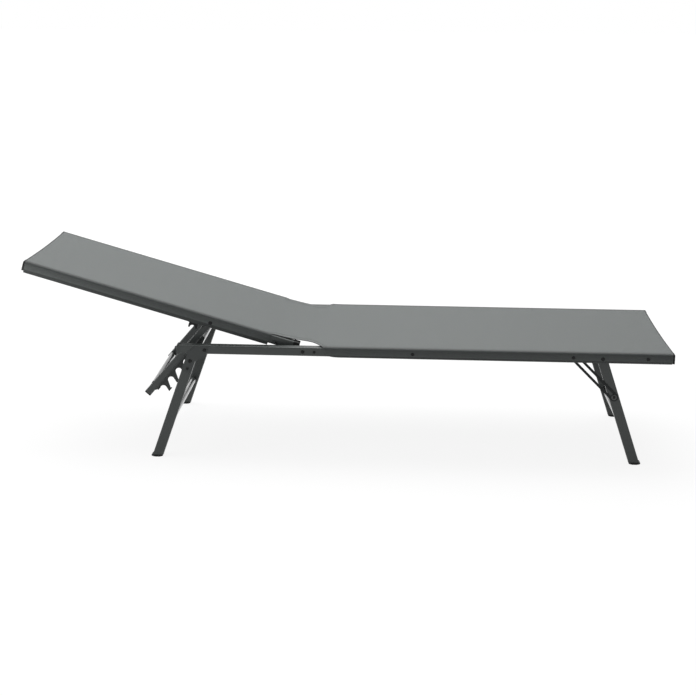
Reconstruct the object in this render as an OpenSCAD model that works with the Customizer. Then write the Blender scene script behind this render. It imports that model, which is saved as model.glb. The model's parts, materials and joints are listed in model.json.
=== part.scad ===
// Folding sun lounger: a steel tube frame with a woven sling, a backrest held up by a
// notched prop, and two pairs of legs that fold under the seat.
// Millimetres, +Z up. The head end is at -X, the foot end at +X and the right side at -Y.
// The origin is on the floor under the middle of the lounger as it stands in the photograph.

/* [Overall] */
// Width over the two seat rails
frame_w = 580; // [520:5:680]
// Seat length from the hinge axis to the foot end
seat_len = 1056; // [1000:1:1200]
// Backrest length from the hinge axis to the head end
back_len = 846.5; // [760:0.5:950]
// Height of the seat rails' centreline above the floor
rail_z = 326.5; // [280:0.5:400]
// Angle of the backrest when its lowest notch is in use
back_angle = 15.8; // [13:0.1:19]

/* [Frame tube] */
// Width of the flat-sided frame tube
tube_w = 30; // [28:0.5:32]
// Height of the frame tube
tube_h = 25; // [24:0.5:28]
// Wall of the frame tube
tube_wall = 1.5; // [1:0.1:2.5]
// Corner radius of the frame tube
tube_r = 3.5; // [2.5:0.1:4]
// Width of the leg tubes, seen from the side
leg_w = 29; // [26:0.5:30]
// Side of the square cross tubes
cross_w = 20; // [16:0.5:22]
// Diameter of the round tubes between the legs
rod_d = 16; // [12:0.5:17]
// Wall of the square and round cross tubes
cross_wall = 1.2; // [0.8:0.1:2]
// Length that the seat rails run past the hinge axis towards the head
rail_overrun = 364; // [350:1:400]
// Distance from the hinge axis to the middle cross tube of the seat
mid_tube_x = 315; // [250:1:400]
// Distance from the foot end to the last cross tube of the seat
foot_tube_inset = 75; // [50:1:100]
// Distance from the head end to the upper cross tube of the backrest
head_tube_inset = 55; // [40:1:90]
// Distance from the hinge axis to the lower cross tube of the backrest
lumbar_tube_s = 130; // [115:1:160]

/* [Hinge] */
// Thickness of each hinge plate
hinge_t = 2; // [1.8:0.1:2.5]
// Distance from the hinge axis to the plug of the backrest rail
rail_start = 15.5; // [15.5:0.5:25]
// Distance from the hinge axis to the fixing bolt of the seat's hinge plate
hinge_bolt_x = 33; // [28:0.5:45]
// Distance from the hinge axis to the outer screw of the backrest's hinge plate
hinge_screw_s = 81.5; // [75:0.5:88]
// Radius of the hinge plates' round ends
hinge_r = 10; // [9:0.5:11]

/* [Prop] */
// Side of the square prop arms
arm_w = 20; // [16:0.5:22]
// Length of a prop arm from its pivot to its free end
arm_len = 298; // [290:1:340]
// Distance from the hinge axis to the prop's pivot, along the backrest
prop_s = 280; // [272:0.5:290]
// Distance of the prop's pivot below the backrest rail's centreline
prop_drop = 4.4; // [2:0.1:5]
// Length of a prop arm above its pivot
arm_head = 11; // [10.5:0.1:12]
// Diameter of the round tube that joins the arms
prop_tube_d = 18; // [16:0.5:20]
// Distance from the arms' free end to that tube
prop_tube_inset = 13; // [12:0.5:20]
// Length of the spacer between the backrest rail and the prop arm
prop_spacer = 2; // [1.5:0.1:4]

/* [Rack] */
// Number of notches
notches = 5; // [3:1:5]
// Distance between neighbouring notches along the arm
notch_pitch = 35.6; // [33:0.1:37]
// Distance from the arm's centreline to the centre of a seated tube
notch_side = 26.5; // [25:0.5:28]
// Length of a tooth past the centre of a seated tube
tooth_reach = 18; // [14:0.5:20]
// Clearance round a tube in its notch
notch_gap = 1.8; // [1.2:0.1:2]
// Lean of a notch's upper side from square to the arm
notch_lean = 18; // [15:1:20]
// Angle by which a notch widens to its mouth
notch_flare = 13; // [8:1:14]
// Height of the hook at each tooth's tip
hook_h = 5; // [2:0.5:6]
// Thickness of the rack's sheet
rack_t = 2.5; // [2:0.1:4]

/* [Rear legs] */
// Distance from the hinge axis to the rear legs' pivot
rear_pivot = 283.4; // [278:0.1:290]
// Slope of the rear legs from upright
rear_splay = 19.1; // [17:0.1:21]
// Distance from the pivot to the leg's centreline
rear_offset = 29.3; // [28.5:0.1:31]
// Distance from the pivot down the leg to the tube that the rack rests on
rack_drop = 45.7; // [44:0.1:50]
// Height of the rear legs' lower tube above the floor
rear_tube_z = 85; // [60:1:120]
// Thickness of the plate that hangs the leg on the rail
leg_plate_t = 2.5; // [2:0.1:4]

/* [Front legs] */
// Distance from the foot end to the front legs' pivot
front_inset = 202; // [190:1:240]
// Distance of the front legs' pivot below the rail's centreline
front_drop = 2.3; // [2.3:0.1:5]
// Slope of the front legs from upright
front_splay = 19; // [16:0.1:21]
// Gap between the seat rail and the front leg
front_gap = 5.6; // [5.6:0.1:8]
// Height of the front legs' tube above the floor
front_tube_z = 90; // [60:1:120]
// Distance from the brace's pivot to the front legs' pivot
brace_span = 83; // [76:1:95]
// Distance from the front legs' pivot down to the brace's bolt
brace_bolt_l = 128.5; // [120:0.5:140]
// Width of the slotted brace
brace_w = 20; // [18:0.5:22]
// Width of the slot in the brace
slot_w = 9; // [8:0.1:10]
// Thickness of the brace
brace_t = 2; // [1.5:0.1:2]

/* [Feet and plugs] */
// Thickness of the rubber under a leg
foot_t = 6; // [4:0.5:9]
// Overhang of a foot round its leg
foot_lip = 1; // [0.5:0.1:2]
// Length of a foot or plug inside its tube
plug_len = 22; // [12:1:30]
// Thickness of a plug's rim at a tube end
plug_rim = 3; // [2:0.1:4]

/* [Sling] */
// Thickness of the woven sling
sling_t = 1.2; // [0.8:0.1:2]
// Distance from the hinge axis at which the seat's sling starts to wrap the rails
seat_wrap = 57; // [50:1:100]
// Distance from the hinge axis at which the backrest's sling starts to wrap its rails
back_wrap = 105; // [98:1:140]
// Distance of the sling's end from the end of the rails
sling_inset = 4; // [3:0.5:10]
// Distance of each sling half from the hinge axis
sling_hinge_gap = 10; // [8:0.5:20]
// Radius of the cut-outs in the sling beside the hinge
cutout_r = 55; // [45:1:58]

/* [Fasteners and fits] */
// Diameter of the bolts
bolt_d = 8; // [6:0.5:8]
// Diameter of the bolt heads
head_d = 13; // [11:0.5:14]
// Thickness of the bolt heads
head_t = 2.5; // [2:0.1:2.5]
// Diameter of the small screws
screw_d = 4; // [3:0.5:5]
// Diameter of the small screws' heads
screw_head_d = 7.5; // [6:0.5:8]
// Thickness of the small screws' heads
screw_head_t = 2; // [1.5:0.1:2]
// Radial clearance of a turning bolt
run_gap = 0.25; // [0.1:0.05:0.4]
// Clearance between plates that slide on each other
side_gap = 0.6; // [0.4:0.1:0.8]
// Clearance round plugs, inserts and fixed bolts
fit_gap = 0.1; // [0.05:0.05:0.2]
// Clearance between the sling and the frame
soft_gap = 0.3; // [0.2:0.1:0.5]

/* [Hidden] */

$fn = 48;
cut = 1;              // overrun of a cut past the face that it opens
paint = "#43494a";
dark_paint = "#363b3c";
plastic = "#17191a";
zinc = "#5c6163";
cloth = "#878c8b";

// Places of the hinge, rails and pivots
back_reach = back_len * cos(back_angle) + tube_h / 2 * sin(back_angle);
hinge_x = (back_reach - seat_len) / 2;
foot_x = hinge_x + seat_len;
rail_out = frame_w / 2;
rail_in = rail_out - tube_w;
rail_y = (rail_out + rail_in) / 2;
back_out = rail_in - 2 * hinge_t - side_gap;
back_in = back_out - tube_w;
back_y = (back_out + back_in) / 2;
arm_out = back_in - prop_spacer;
arm_in = arm_out - arm_w;
arm_y = (arm_out + arm_in) / 2;
front_out = rail_in - front_gap;
front_y = front_out - tube_h / 2;
rear_y = rail_out - tube_h / 2;
rail_top = rail_z + tube_h / 2;
rail_bottom = rail_z - tube_h / 2;
hinge_plate_w = 11;       // width of the strip that is screwed to the backrest rail
hinge_plate_drop = 5;     // its centreline below the rail's
hinge_screws = [rail_start + plug_len + screw_head_d, hinge_screw_s];
nut_t = 3;
rack_rivet_l = [70, 262]; // rivets through the arm and the rack's flange, down the arm
rack_top_l = 58;          // upper end of the rack, down the arm
leg_rivet_gap = 24.1;     // rivet of a leg plate below the rack tube's bolt
leg_rivet_l = rack_drop + leg_rivet_gap;
ear_drop_share = 1.8;     // depth of a leg plate's front corner, in ear radii
leg_ear_r = 9;            // radius of a leg plate round its pivot
front_pivot = seat_len - front_inset;
brace_pivot = front_pivot - brace_span;
rear_x = hinge_x - rear_pivot;
front_x = hinge_x + front_pivot;
front_z = rail_z - front_drop;
brace_x = hinge_x + brace_pivot;
bolt_hole_r = bolt_d / 2 + run_gap;
fixed_hole_r = bolt_d / 2 + fit_gap;

// Tube under the rear legs' tops that the rack rests on
rack_x = rear_x - rear_offset * cos(rear_splay) - rack_drop * sin(rear_splay);
rack_z = rail_z + rear_offset * sin(rear_splay) - rack_drop * cos(rear_splay);

// Pivot of the prop, and the angle at which its last notch sits on that tube
prop_x = hinge_x - prop_s * cos(back_angle) - prop_drop * sin(back_angle);
prop_z = rail_z + prop_s * sin(back_angle) - prop_drop * cos(back_angle);
rack_reach = norm([rack_x - prop_x, rack_z - prop_z]);
last_notch = sqrt(pow(rack_reach, 2) - pow(notch_side, 2));
prop_angle = atan2(-last_notch, notch_side) - atan2(rack_z - prop_z, rack_x - prop_x);
notch_r = rod_d / 2 + notch_gap;
first_notch = last_notch + (notches - 1) * notch_pitch;
rack_end_l = first_notch + notch_r + 2 * rack_t;

// Brace from its pivot to its bolt on the front leg, and its slot
brace_bolt_x = front_x + brace_bolt_l * sin(front_splay);
brace_bolt_z = front_z - brace_bolt_l * cos(front_splay);
brace_angle = atan2(brace_bolt_z - rail_z, brace_bolt_x - brace_x);
brace_len = norm([brace_bolt_x - brace_x, brace_bolt_z - rail_z]);
slot_start = brace_bolt_l - (front_x - brace_x) - slot_w / 2;
brace_in = front_out + side_gap;
brace_out = brace_in + brace_t;
mouth_w = 3 * tooth_reach;  // reach of a cut that opens a notch to the outside

// Legs from their pivots to the floor, and the tubes across them
rear_foot_l = (rail_z + rear_offset * sin(rear_splay)) / cos(rear_splay);
rear_foot_x = rear_x - rear_offset * cos(rear_splay) - rear_foot_l * sin(rear_splay);
rear_tube_l = rear_foot_l - rear_tube_z / cos(rear_splay);
front_foot_x = front_x + front_z * tan(front_splay);
front_tube_l = (front_z - front_tube_z) / cos(front_splay);

// Frames in which the folding pieces are drawn
module at_hinge() {
    translate([hinge_x, 0, rail_z]) rotate([0, back_angle, 0]) children();
}

module at_prop() {
    translate([prop_x, 0, prop_z]) rotate([0, prop_angle, 0]) children();
}

module at_rear_leg() {
    translate([rear_x, 0, rail_z]) rotate([0, rear_splay, 0]) children();
}

module at_front_leg() {
    translate([front_x, 0, front_z]) rotate([0, -front_splay, 0]) children();
}

module at_brace() {
    translate([brace_x, 0, rail_z]) rotate([0, -brace_angle, 0]) children();
}

// Pieces are drawn on the left, at +Y, and mirrored to the right
module on_side(side) {
    if (side == "right") mirror([0, 1, 0]) children();
    else children();
}

module on_both_sides() {
    on_side("left") children();
    on_side("right") children();
}

// Rectangle with round corners about the origin, from exact arcs
module round_rect(w, h, r) {
    square([w - 2 * r, h], center = true);
    square([w, h - 2 * r], center = true);
    for (x = [-1, 1], y = [-1, 1])
        translate([x * (w / 2 - r), y * (h / 2 - r)]) circle(r);
}

module tube_section(w, h, wall, r) {
    difference() {
        round_rect(w, h, r);
        round_rect(w - 2 * wall, h - 2 * wall, max(r - wall, fit_gap));
    }
}

// Draws a section that is extruded along +X, with its own Y turned to Z
module along_x(length) {
    rotate([90, 0, 90]) linear_extrude(length) children();
}

// Draws a section in the X, Z plane, extruded from y0 to y1
module across(y0, y1) {
    translate([0, y1, 0]) rotate([90, 0, 0]) linear_extrude(y1 - y0) children();
}

// Round bar across the frame from y0 to y1
module pin(r, y0, y1) {
    across(y0, y1) circle(r);
}

// Hexagon nut or a socket in a bolt's head
module hexagon(width, y0, y1) {
    across(y0, y1) circle(d = width / cos(30), $fn = 6);
}

// Bolt with its head's underside at y = seat, its end at y = tip, and a nut if asked
module bolt(seat, tip, nut = true) {
    socket = head_d / 2;
    difference() {
        union() {
            pin(bolt_d / 2, tip, seat);
            pin(head_d / 2, seat, seat + head_t);
        }
        hexagon(socket, seat + head_t / 2, seat + head_t + cut);
    }
    if (nut) difference() {
        hexagon(head_d, tip, tip + nut_t);
        pin(bolt_d / 2, tip - cut, tip + nut_t + cut);
    }
}

module screw(seat, tip) {
    difference() {
        union() {
            pin(screw_d / 2, tip, seat);
            pin(screw_head_d / 2, seat, seat + screw_head_t);
        }
        hexagon(screw_head_d / 2, seat + screw_head_t / 2, seat + screw_head_t + cut);
    }
}

// Plug in the end of a frame tube: its rim lies at x = 0 to plug_rim, its body behind
module tube_plug() {
    inner_w = tube_w - 2 * tube_wall - 2 * fit_gap;
    inner_h = tube_h - 2 * tube_wall - 2 * fit_gap;
    along_x(plug_rim) round_rect(tube_w, tube_h, tube_r);
    translate([-plug_len, 0, 0])
        along_x(plug_len) tube_section(inner_w, inner_h, 2 * tube_wall, tube_r - tube_wall);
}

// Seat frame

module seat_rail(side) {
    length = rail_overrun + seat_len - 2 * plug_rim;
    color(paint) on_side(side) difference() {
        translate([foot_x - plug_rim - length, rail_y, rail_z])
            along_x(length) tube_section(tube_w, tube_h, tube_wall, tube_r);
        for (x = [hinge_x, hinge_x + hinge_bolt_x, hinge_x + mid_tube_x,
                  foot_x - foot_tube_inset, rear_x, brace_x])
            translate([x, 0, rail_z]) pin(fixed_hole_r, rail_in - cut, rail_out + cut);
        translate([front_x, 0, front_z]) pin(fixed_hole_r, rail_in - cut, rail_out + cut);
    }
}

// Square tube between the seat rails with a threaded block in each end
module seat_cross_tube(x) {
    block = plug_len;
    color(paint) translate([x, 0, rail_z]) difference() {
        across(-rail_in, rail_in) round_rect(cross_w, cross_w, tube_r);
        across(block - rail_in, rail_in - block)
            round_rect(cross_w - 2 * cross_wall, cross_w - 2 * cross_wall, tube_r - cross_wall);
        on_both_sides() pin(fixed_hole_r, rail_in - block - cut, rail_in + cut);
    }
}

module seat_rail_plugs() {
    color(plastic) on_both_sides() {
        translate([foot_x - plug_rim, rail_y, rail_z]) tube_plug();
        translate([hinge_x - rail_overrun + plug_rim, rail_y, rail_z])
            mirror([1, 0, 0]) tube_plug();
    }
}

module cross_tube_bolts() {
    color(zinc) on_both_sides()
        for (x = [hinge_x + mid_tube_x, foot_x - foot_tube_inset])
            translate([x, 0, rail_z]) bolt(rail_out, rail_in - plug_len + 2 * head_t, false);
}

// Hinge plate that is bolted flat to the inside of the seat rail
module hinge_bracket(side) {
    color(dark_paint) on_side(side) translate([hinge_x, 0, rail_z]) difference() {
        across(rail_in - hinge_t, rail_in) {
            circle(hinge_r);
            translate([hinge_bolt_x, 0]) circle(hinge_r);
            translate([0, -hinge_r]) square([hinge_bolt_x, 2 * hinge_r]);
        }
        for (x = [0, hinge_bolt_x])
            translate([x, 0, 0]) pin(fixed_hole_r, rail_in - hinge_t - cut, rail_in + cut);
    }
}

module hinge_pivot_bolts() {
    tip = back_out - side_gap - nut_t;
    color(zinc) on_both_sides() translate([hinge_x, 0, rail_z]) bolt(rail_out, tip);
}

module hinge_bracket_bolts() {
    tip = rail_in - hinge_t - nut_t;
    color(zinc) on_both_sides()
        translate([hinge_x + hinge_bolt_x, 0, rail_z]) bolt(rail_out, tip);
}

module rear_pivot_bolts() {
    seat = rail_out + leg_plate_t + 2 * soft_gap;
    color(zinc) on_both_sides()
        translate([rear_x, 0, rail_z]) bolt(seat, rail_in - nut_t);
}

module front_pivot_bolts() {
    tip = front_out - tube_h - soft_gap - nut_t;
    color(zinc) on_both_sides() translate([front_x, 0, front_z]) bolt(rail_out, tip);
}

// Bush round a bolt between the seat rail and a piece that turns beside it
module spacer(r, y0, y1) {
    difference() {
        pin(r, y0, y1);
        pin(fixed_hole_r, y0 - cut, y1 + cut);
    }
}

module front_leg_spacers() {
    color(plastic) on_both_sides() translate([front_x, 0, front_z])
        spacer(head_d / 2, front_out + soft_gap, rail_in);
}

// The rivet ends flush with the brace, so that the folded leg passes it
module brace_pivot_rivets() {
    color(zinc) on_both_sides() translate([brace_x, 0, rail_z])
        bolt(rail_out, brace_in, false);
}

module brace_spacers() {
    color(plastic) on_both_sides() translate([brace_x, 0, rail_z])
        spacer(head_d / 2, brace_out + soft_gap, rail_in);
}

// Sheet over both rails with a wrap down their outsides, drawn from the hinge towards +X
module sling(outer, length, wrap_start, bolts) {
    under = tube_h / 2 + soft_gap;
    reach = outer + soft_gap + sling_t;
    difference() {
        union() {
            translate([sling_hinge_gap, 0, 0]) along_x(length - sling_hinge_gap)
                translate([-reach, under]) square([2 * reach, sling_t]);
            translate([wrap_start, 0, 0]) along_x(length - wrap_start)
                for (side = [-1, 1]) translate([side * (reach - sling_t / 2), 0])
                    translate([-sling_t / 2, -tube_h / 2])
                        square([sling_t, tube_h / 2 + under + sling_t / 2]);
        }
        on_both_sides() {
            translate([0, rail_in, 0]) cylinder(r = cutout_r, h = tube_h);
            translate([0, rail_in, 0]) cube([cutout_r, 2 * tube_w, tube_h]);
        }
        for (place = bolts) translate([place[0], 0, -place[1]])
            pin(head_d / 2 + soft_gap, -reach - cut, reach + cut);
    }
}

module seat_sling() {
    bolts = [[mid_tube_x, 0], [brace_pivot, 0], [front_pivot, front_drop],
             [seat_len - foot_tube_inset, 0]];
    color(cloth) translate([hinge_x, 0, rail_z])
        sling(rail_out, seat_len - sling_inset, seat_wrap, bolts);
}

// Backrest

module backrest_rail(side) {
    length = back_len - plug_rim - rail_start - plug_rim;
    color(paint) on_side(side) at_hinge() difference() {
        translate([-rail_start - plug_rim - length, back_y, 0])
            along_x(length) tube_section(tube_w, tube_h, tube_wall, tube_r);
        translate([-prop_s, 0, -prop_drop]) pin(fixed_hole_r, back_in - cut, back_out + cut);
        for (s = hinge_screws)
            translate([-s, 0, -hinge_plate_drop])
                pin(screw_d / 2 + fit_gap, back_out - tube_wall - cut, back_out + cut);
    }
}

module backrest_tube(s) {
    color(paint) at_hinge() translate([-s, 0, 0])
        across(-back_in, back_in) tube_section(cross_w, cross_w, cross_wall, tube_r);
}

module backrest_plugs() {
    color(plastic) on_both_sides() at_hinge() {
        translate([-rail_start - plug_rim, back_y, 0]) tube_plug();
        translate([plug_rim - back_len, back_y, 0]) mirror([1, 0, 0]) tube_plug();
    }
}

// Hinge plate that is screwed flat to the outside of the backrest rail
module hinge_plate(side) {
    strip_end = hinge_screw_s + screw_head_d;
    strip_z = -hinge_plate_drop;
    color(dark_paint) on_side(side) at_hinge() difference() {
        across(back_out, back_out + hinge_t) {
            circle(hinge_r);
            translate([-strip_end, strip_z - hinge_plate_w / 2])
                square([strip_end, hinge_plate_w]);
            translate([-strip_end, strip_z]) circle(hinge_plate_w / 2);
        }
        pin(bolt_hole_r, back_out - cut, back_out + hinge_t + cut);
        for (s = hinge_screws)
            translate([-s, 0, strip_z])
                pin(screw_d / 2 + fit_gap, back_out - cut, back_out + hinge_t + cut);
    }
}

module hinge_plate_screws() {
    color(zinc) on_both_sides() at_hinge() for (s = hinge_screws)
        translate([-s, 0, -hinge_plate_drop])
            screw(back_out + hinge_t, back_out - 2 * tube_wall);
}

module prop_pivot_bolts() {
    color(zinc) on_both_sides() at_hinge() translate([-prop_s, 0, -prop_drop])
        bolt(back_out, arm_in - soft_gap - nut_t);
}

module prop_spacers() {
    color(plastic) on_both_sides() at_hinge() translate([-prop_s, 0, -prop_drop])
        spacer(head_d / 2, arm_out + soft_gap, back_in);
}

// Saddle under the backrest rail that sits on the rack tube when the lounger lies flat
module rest_saddle(side) {
    seat_s = hinge_x - rack_x;
    seat_t = rack_z - rail_z;
    seat_r = rod_d / 2 + 2 * soft_gap;
    wall = 3 * tube_wall;
    block_w = 2 * (seat_r + wall);
    color(plastic) on_side(side) at_hinge() translate([-seat_s, 0, 0]) difference() {
        across(back_in, back_out) translate([-block_w / 2, seat_t])
            square([block_w, -seat_t - tube_h / 2]);
        translate([0, 0, seat_t]) pin(seat_r, back_in - cut, back_out + cut);
    }
}

module backrest_sling() {
    color(cloth) at_hinge() mirror([1, 0, 0])
        sling(back_out, back_len - sling_inset, back_wrap, [[prop_s, prop_drop]]);
}

// Prop with its racks

module prop_arm(side) {
    color(paint) on_side(side) at_prop() difference() {
        translate([0, arm_y, plug_rim - arm_len]) linear_extrude(arm_len + arm_head - plug_rim)
            tube_section(arm_w, arm_w, tube_wall, tube_r);
        pin(bolt_hole_r, arm_in - cut, arm_out + cut);
        rack_rivet_places() pin(screw_d / 2 + fit_gap, -arm_w, arm_w);
    }
}

// Turns what is drawn along Y to the rivets that cross an arm towards its teeth
module rack_rivet_places() {
    for (l = rack_rivet_l) translate([0, arm_y, -l]) rotate([0, 0, 90]) children();
}

// One notch: a round seat with a mouth that leans and widens towards the free end
module notch(l) {
    low = notch_lean + notch_flare;
    upper = notch_r * [sin(notch_lean), cos(notch_lean)];
    lower = -notch_r * [sin(low), cos(low)];
    translate([notch_side, -l]) {
        circle(notch_r);
        polygon([
            lower, lower + mouth_w * [cos(low), -sin(low)],
            upper + mouth_w * [cos(notch_lean), -sin(notch_lean)], upper
        ]);
    }
}

// Hook on the tip of the tooth below a notch, which keeps the tube from slipping out
module tooth_hook(l) {
    lean = notch_lean + notch_flare;
    corner = notch_r / cos(lean) + tooth_reach * tan(lean);
    translate([notch_side + tooth_reach, -l - corner])
        polygon([[-hook_h, -rack_t], [0, -rack_t], [0, hook_h], [-rack_t, hook_h], [-hook_h, 0]]);
}

// The last notch also opens straight down, so that the backrest lifts off the tube,
// and is bounded above by an arc about the pivot, so that the prop swings off it
module last_notch_opening() {
    notch(last_notch);
    translate([notch_side, -last_notch]) rotate(prop_angle - 90)
        translate([0, -notch_r]) square([mouth_w, 2 * notch_r]);
    difference() {
        translate([notch_side, -last_notch - notch_r]) square([mouth_w, last_notch]);
        circle(rack_reach - notch_r);
    }
}

// Toothed web of a rack in the X, Z plane of the prop, below the arm
module rack_outline() {
    root = arm_w / 2;
    tip = notch_side + tooth_reach;
    tooth_top = last_notch - notch_r;
    stub = notch_side - notch_r + rack_t / 2;
    difference() {
        polygon([
            [root, -rack_top_l], [root, -rack_end_l], [stub, -rack_end_l],
            [stub, -first_notch], [tip, notch_r / 4 - first_notch],
            [tip, -tooth_top - notch_r], [tip - notch_r, -tooth_top],
            [root + notch_r, -rack_top_l]
        ]);
        last_notch_opening();
        for (i = [1 : notches - 1]) notch(last_notch + i * notch_pitch);
    }
    for (i = [1 : notches - 2]) tooth_hook(last_notch + i * notch_pitch);
}

// Rack bent from sheet: a flange along the underside of the arm and the toothed web,
// flush with the arm's inside
module rack_plate(side) {
    color(dark_paint) on_side(side) at_prop() difference() {
        union() {
            across(arm_in, arm_in + rack_t) rack_outline();
            translate([arm_w / 2, arm_in, -rack_end_l])
                cube([rack_t, arm_w - tube_r, rack_end_l - rack_top_l]);
        }
        rack_rivet_places() pin(screw_d / 2 + fit_gap, -arm_w, arm_w);
    }
}

module prop_cross_tube() {
    r = prop_tube_d / 2;
    color(paint) at_prop() translate([0, 0, prop_tube_inset - arm_len]) difference() {
        pin(r, -arm_in, arm_in);
        pin(r - cross_wall, -arm_in - cut, arm_in + cut);
    }
}

module prop_end_caps() {
    inner = arm_w - 2 * tube_wall - 2 * fit_gap;
    color(plastic) on_both_sides() at_prop() translate([0, arm_y, -arm_len]) {
        linear_extrude(plug_rim) round_rect(arm_w, arm_w, tube_r);
        translate([0, 0, plug_rim])
            linear_extrude(plug_len / 2) tube_section(inner, inner, tube_wall, tube_r - tube_wall);
    }
}

module rack_rivets() {
    color(zinc) on_both_sides() at_prop() rack_rivet_places()
        screw(arm_w / 2, -arm_w / 2 - rack_t - screw_head_t);
}

// Legs

// Keeps what lies between two heights above the floor
module between(z0, z1) {
    span = 2 * seat_len;
    intersection() {
        children();
        translate([-span, -span, z0]) cube([2 * span, 2 * span, z1 - z0]);
    }
}

// Foot under a sloping leg whose centreline meets the floor at x
module foot(x, y, splay) {
    half = leg_w / 2 / cos(splay) + foot_lip;
    sole_r = 1.5 * leg_w;
    inner_w = leg_w - 2 * tube_wall - 2 * fit_gap;
    inner_h = tube_h - 2 * tube_wall - 2 * fit_gap;
    sole_flat = foot_t / 12;  // depth of the flat on the round sole
    lift = foot_t * tan(splay);
    translate([x, 0, 0]) intersection() {
        translate([-half, y - tube_h / 2 - foot_lip, 0])
            cube([2 * half, tube_h + 2 * foot_lip, foot_t]);
        translate([0, 0, sole_r - sole_flat])
            pin(sole_r, y - tube_h / 2 - foot_lip, y + tube_h / 2 + foot_lip);
    }
    between(foot_t, plug_len) translate([x, y, 0]) rotate([0, splay, 0])
        translate([0, 0, -lift]) linear_extrude(2 * plug_len)
            tube_section(inner_w, inner_h, 2 * tube_wall, tube_r - tube_wall);
}

// The leg's top is cut level and stops under the rail when the leg is open
module rear_leg(side) {
    color(paint) on_side(side) difference() {
        between(foot_t, rail_bottom - soft_gap) at_rear_leg()
            translate([-rear_offset, rear_y, -2 * rail_z]) linear_extrude(3 * rail_z)
                tube_section(leg_w, tube_h, tube_wall, tube_r);
        at_rear_leg() translate([-rear_offset, 0, -rack_drop])
            pin(fixed_hole_r, rear_y - tube_h, rear_y + tube_h);
        at_rear_leg() translate([-rear_offset, 0, -leg_rivet_l])
            pin(screw_d / 2 + fit_gap, rail_out - tube_wall - cut, rail_out + cut);
    }
}

// Plate on the outside of the leg that reaches over the rail to the pivot, cut level
// just under the rail's top, as wide as the leg on the head side
module leg_plate(side) {
    y0 = rail_out + soft_gap;
    half = leg_w / 2 - tube_r;
    foot_end = leg_rivet_l + half;
    color(paint) on_side(side) difference() {
        between(0, rail_top - cut) at_rear_leg() across(y0, y0 + leg_plate_t) {
            circle(leg_ear_r);
            polygon([
                [leg_ear_r / 2, rack_drop / 2], [tube_r - rear_offset, rack_drop / 2],
                [tube_r - rear_offset, leg_ear_r / 2],
                [-leg_w / 2 - rear_offset, -rack_drop / 2],
                [-leg_w / 2 - rear_offset, -foot_end], [half - rear_offset, -foot_end],
                [half - rear_offset, -rack_drop], [leg_ear_r, -ear_drop_share * leg_ear_r]
            ]);
        }
        at_rear_leg() pin(bolt_hole_r, y0 - cut, y0 + leg_plate_t + cut);
        at_rear_leg() translate([-rear_offset, 0, -rack_drop])
            pin(fixed_hole_r, y0 - cut, y0 + leg_plate_t + cut);
        at_rear_leg() translate([-rear_offset, 0, -leg_rivet_l])
            pin(screw_d / 2 + fit_gap, y0 - cut, y0 + leg_plate_t + cut);
    }
}

// Round tube between a pair of legs with a threaded block in each end
module leg_rod(half) {
    block = plug_len;
    difference() {
        pin(rod_d / 2, -half, half);
        pin(rod_d / 2 - cross_wall, block - half, half - block);
        on_both_sides() pin(fixed_hole_r, half - block - cut, half + cut);
    }
}

module rack_cross_tube() {
    color(paint) at_rear_leg() translate([-rear_offset, 0, -rack_drop])
        leg_rod(rail_out - tube_h);
}

module rear_leg_tube() {
    color(paint) at_rear_leg() translate([-rear_offset, 0, -rear_tube_l])
        leg_rod(rail_out - tube_h);
}

module rack_tube_bolts() {
    seat = rail_out + soft_gap + leg_plate_t;
    color(zinc) on_both_sides() at_rear_leg() translate([-rear_offset, 0, -rack_drop])
        bolt(seat, rail_out - tube_h - plug_len + 2 * head_t, false);
}

module leg_plate_rivets() {
    color(zinc) on_both_sides() at_rear_leg() translate([-rear_offset, 0, -leg_rivet_l])
        screw(rail_out + soft_gap + leg_plate_t, rail_out - 2 * tube_wall);
}

module rear_foot(side) {
    color(plastic) on_side(side) foot(rear_foot_x, rear_y, rear_splay);
}

// The upper end is round about the pivot, so that the leg folds level under the sling
module front_leg_shape(y0, y1) {
    across(y0, y1) {
        circle(leg_w / 2);
        translate([-leg_w / 2, -2 * rail_z]) square([leg_w, 2 * rail_z]);
    }
}

module front_leg(side) {
    color(paint) on_side(side) difference() {
        between(foot_t, 2 * rail_z) at_front_leg() intersection() {
            translate([0, front_y, -2 * rail_z]) linear_extrude(3 * rail_z)
                tube_section(leg_w, tube_h, tube_wall, tube_r);
            front_leg_shape(front_out - tube_h - cut, front_out + cut);
        }
        at_front_leg() pin(bolt_hole_r, front_out - tube_h - cut, front_out + cut);
    }
}

// Caps that close the round upper ends of the front legs
module front_leg_caps() {
    inner_w = leg_w - 2 * tube_wall - 2 * fit_gap;
    inner_h = tube_h - 2 * tube_wall - 2 * fit_gap;
    y0 = front_y - inner_h / 2;
    y1 = front_y + inner_h / 2;
    color(plastic) on_both_sides() at_front_leg() difference() {
        intersection() {
            pin(leg_w / 2, y0, y1);
            translate([0, front_y, -leg_w / 2]) linear_extrude(leg_w)
                round_rect(inner_w, inner_h, tube_r - tube_wall);
        }
        pin(bolt_hole_r, y0 - cut, y1 + cut);
    }
}

module front_leg_tube() {
    color(paint) at_front_leg() translate([0, 0, -front_tube_l])
        leg_rod(front_out - tube_h);
}

module front_foot(side) {
    color(plastic) on_side(side) foot(front_foot_x, front_y, -front_splay);
}

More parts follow.
